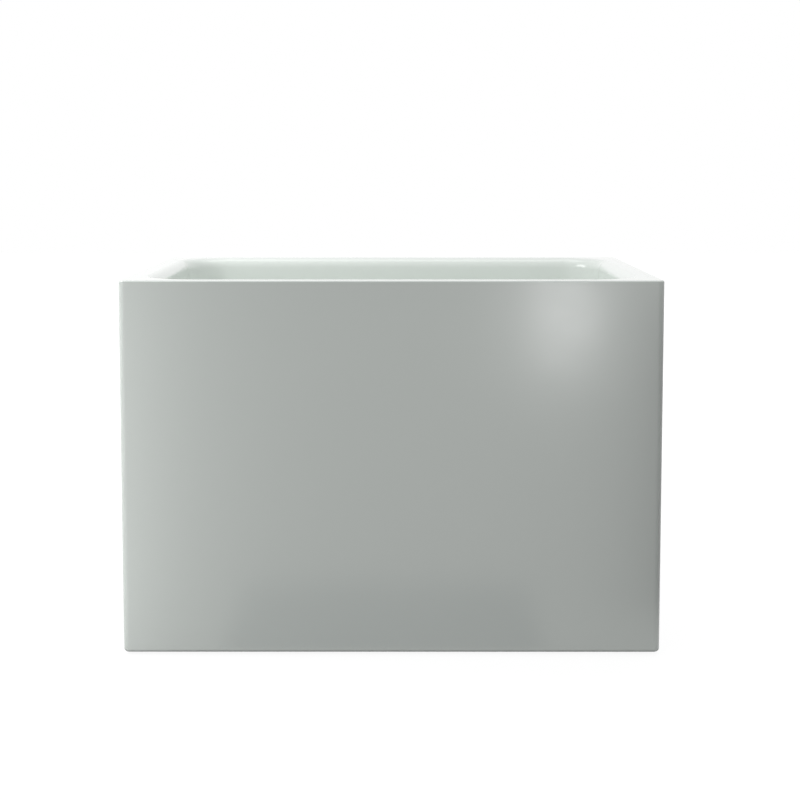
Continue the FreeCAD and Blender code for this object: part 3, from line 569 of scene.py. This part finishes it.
def make_feet():
    """The screwed feet with their lock nuts, and the screws of the angle plates."""
    pad_top, nut_z = 0.0101, 0.041
    screw_x, screw_y, screw_z = 0.3, 0.3275, 0.088
    finishes = [ZINC, THREAD]
    locks = []
    for x, end in ((-1, "left"), (1, "right")):
        for y, row in ((-1, "front"), (1, "back")):
            node = f"levelling_foot_{row}_{end}"
            shape = shape_of(node)
            flatten(shape)
            round_off(shape, edges_between(shape, 50, 120, longer(0.01)), 0.0008)
            for face in shape.faces:
                on_rod = face.calc_center_median().z > pad_top
                face.material_index = finishes.index(THREAD if on_rod else ZINC)
            add_piece(f"screw_foot_{row}_{end}", shape, *finishes, body=f"foot_{row}_{end}",
                      slot="zinc_steel", instead_of=[node])
            at = (x * FOOT_X, y * FOOT_Y, nut_z)
            locks.append(hex_head(at, (0, 0, -1), flats=0.019, height=0.007, washer=0.0115))
    add_piece("lock_nuts", join(*locks), ZINC, slot="zinc_steel")
    heads = []
    for x in (-1, 0, 1):
        for y in (-1, 1):
            at = (x * screw_x, y * screw_y, screw_z)
            heads.append(hex_head(at, (0, y, 0), flats=0.008, height=0.0045, washer=0.006))
    add_piece("bracket_screws", join(*heads), ZINC, slot="zinc_steel")


make_basin()
make_skirt()
make_waste()
make_overflow()
make_feet()


# Stage: a pale floor, soft lamps and the camera

def lamp(name, at, towards, width, height, power, reflected=True):
    """A lamp that isn't seen itself, apart from its reflection if it has one."""
    light = bpy.data.lights.new(name, "AREA")
    light.shape, light.size, light.size_y = "RECTANGLE", width, height
    light.energy = power
    thing = bpy.data.objects.new(name, light)
    bpy.context.scene.collection.objects.link(thing)
    thing.location = at
    thing.rotation_euler = (Vector(towards) - Vector(at)).to_track_quat("-Z", "Y").to_euler()
    thing.visible_camera = False
    thing.visible_glossy = reflected


def sheet(name, half, material, matrix=Matrix.Identity(4)):
    """Adds a flat square of the stage, of which half a side is given."""
    shape = bmesh.new()
    bmesh.ops.create_grid(shape, x_segments=1, y_segments=1, size=half)
    mesh = bpy.data.meshes.new(name)
    moved(shape, matrix).to_mesh(mesh)
    shape.free()
    mesh.materials.append(material)
    thing = bpy.data.objects.new(name, mesh)
    bpy.context.scene.collection.objects.link(thing)
    return thing


def edge_card():
    """A dark card beside the drain end's front edge, which shades that edge and isn't seen or reflected."""
    place, width, height = (0.59, -0.44, 0.42), 0.14, 0.62
    turn = Vector((-1, 1, 0)).to_track_quat("Z", "Y").to_matrix().to_4x4()
    matrix = Matrix.Translation(place) @ turn @ Matrix.Diagonal((width, height, 1, 1))
    black = Finish("dark card", Base_Color=colour(0.02, 0.02, 0.02), Roughness=0.9).material
    thing = sheet("edge card", 0.5, black, matrix)
    thing.visible_camera = thing.visible_glossy = False


def floor():
    """A pale floor that looks white, apart from the tub's shadow and a dim bluish patch in front of the tub.

    Only reflections see the patch: it paints a dark reflection on the front, in a band along the foot.
    """
    finish = Finish("floor", Base_Color=colour(0.1, 0.1, 0.1), Roughness=0.9)
    rays = finish.nodes.new("ShaderNodeLightPath")
    gloss, camera_ray, through = (
        Value(finish, rays.outputs[f"Is {kind} Ray"]) for kind in ("Glossy", "Camera", "Transmission"))
    aside, side_fade, near_fade, far_fade = 0.015, (0.28, 0.33), (-0.405, -0.38), (-0.95, -0.75)
    along, across = finish.axis("X"), finish.axis("Y")
    sides = finish.fade(abs(along + aside), *side_fade, 1.0, 0.0)
    near = finish.fade(across, *near_fade, 1.0, 0.0)
    far = finish.fade(across, *far_fade, 0.0, 1.0)
    # Glossy rays get the dim bluish colour inside the patch: a painted dark reflection on the tub's front.
    shade = finish.mix(gloss * sides * near * far, colour(1, 1, 1), colour(0.05, 0.08, 0.15))
    away = finish.node("VectorMath", {"operation": "LENGTH"}, {0: finish.place()}, output="Value")
    # The glow is a little weaker near the tub: a painted dimming of the floor round it, so that its cast
    # shadow still shows.
    glow = finish.fade(away, 0.7, 2.2, 0.92, 1.0)
    strength = glow * (camera_ray + through + gloss)
    white = finish.node("Emission", {}, {"Color": shade, "Strength": strength})
    both = finish.node("AddShader", {}, {0: Value(finish, finish.shader.outputs[0]), 1: white})
    finish.links.new(both.socket, finish.nodes["Material Output"].inputs["Surface"])
    thing = sheet("floor", 12, finish.material)


def world():
    """White where it is seen or reflected, and dimmer where it lights the tub."""
    made = bpy.data.worlds.new("studio")
    made.use_nodes = True
    bpy.context.scene.world = made
    tree = made.node_tree
    rays = tree.nodes.new("ShaderNodeLightPath")
    seen = tree.nodes.new("ShaderNodeMath")
    seen.operation = "MAXIMUM"
    tree.links.new(rays.outputs["Is Camera Ray"], seen.inputs[0])
    tree.links.new(rays.outputs["Is Glossy Ray"], seen.inputs[1])
    strength = tree.nodes.new("ShaderNodeMapRange")
    strength.inputs["To Min"].default_value = 0.63
    strength.inputs["To Max"].default_value = 1.0
    tree.links.new(seen.outputs[0], strength.inputs["Value"])
    background = tree.nodes["Background"]
    background.inputs["Color"].default_value = (1, 1, 1, 1)
    tree.links.new(strength.outputs[0], background.inputs["Strength"])


floor()
edge_card()
world()
lamp("overhead", (0, 0.5, 3.0), towards=(0, 0.1, 0.6), width=1.5, height=1.5, power=8.5)
lamp("side box", (-1.35, -0.2, 1.5), towards=(0.3, 0.1, 0.6), width=0.8, height=0.8, power=8.5)
lamp("foot strip", (-0.66, -0.52, 0.05), towards=(-0.46, -0.35, 0.05), width=0.06, height=0.09, power=0.05,
     reflected=False)
lamp("edge strip", (-0.64, -0.53, 0.42), towards=(-0.5, -0.35, 0.42), width=0.06, height=0.82, power=0.38,
     reflected=False)
lamp("low box", (0.736, -4.4, 0.253), towards=(0.316, -0.35, 0.645), width=0.15, height=0.45, power=4.4)

# The frame's middle lies 100 pixels under the point the camera looks at.
FRAME_PIXELS, LENS_PIXELS, DROP_PIXELS, SENSOR = 800, 1573.5, 100, 36.0
camera = bpy.data.cameras.new("camera")
camera.sensor_width, camera.lens = SENSOR, SENSOR * LENS_PIXELS / FRAME_PIXELS
camera.shift_y = -DROP_PIXELS / FRAME_PIXELS
viewer = bpy.data.objects.new("camera", camera)
viewer.location = (0.0186, -3.2112, 0.9221)
viewer.rotation_euler = (math.radians(90 - 5.139), 0, 0.001)
bpy.context.scene.collection.objects.link(viewer)
bpy.context.scene.camera = viewer
bpy.context.scene.view_settings.view_transform = "Standard"
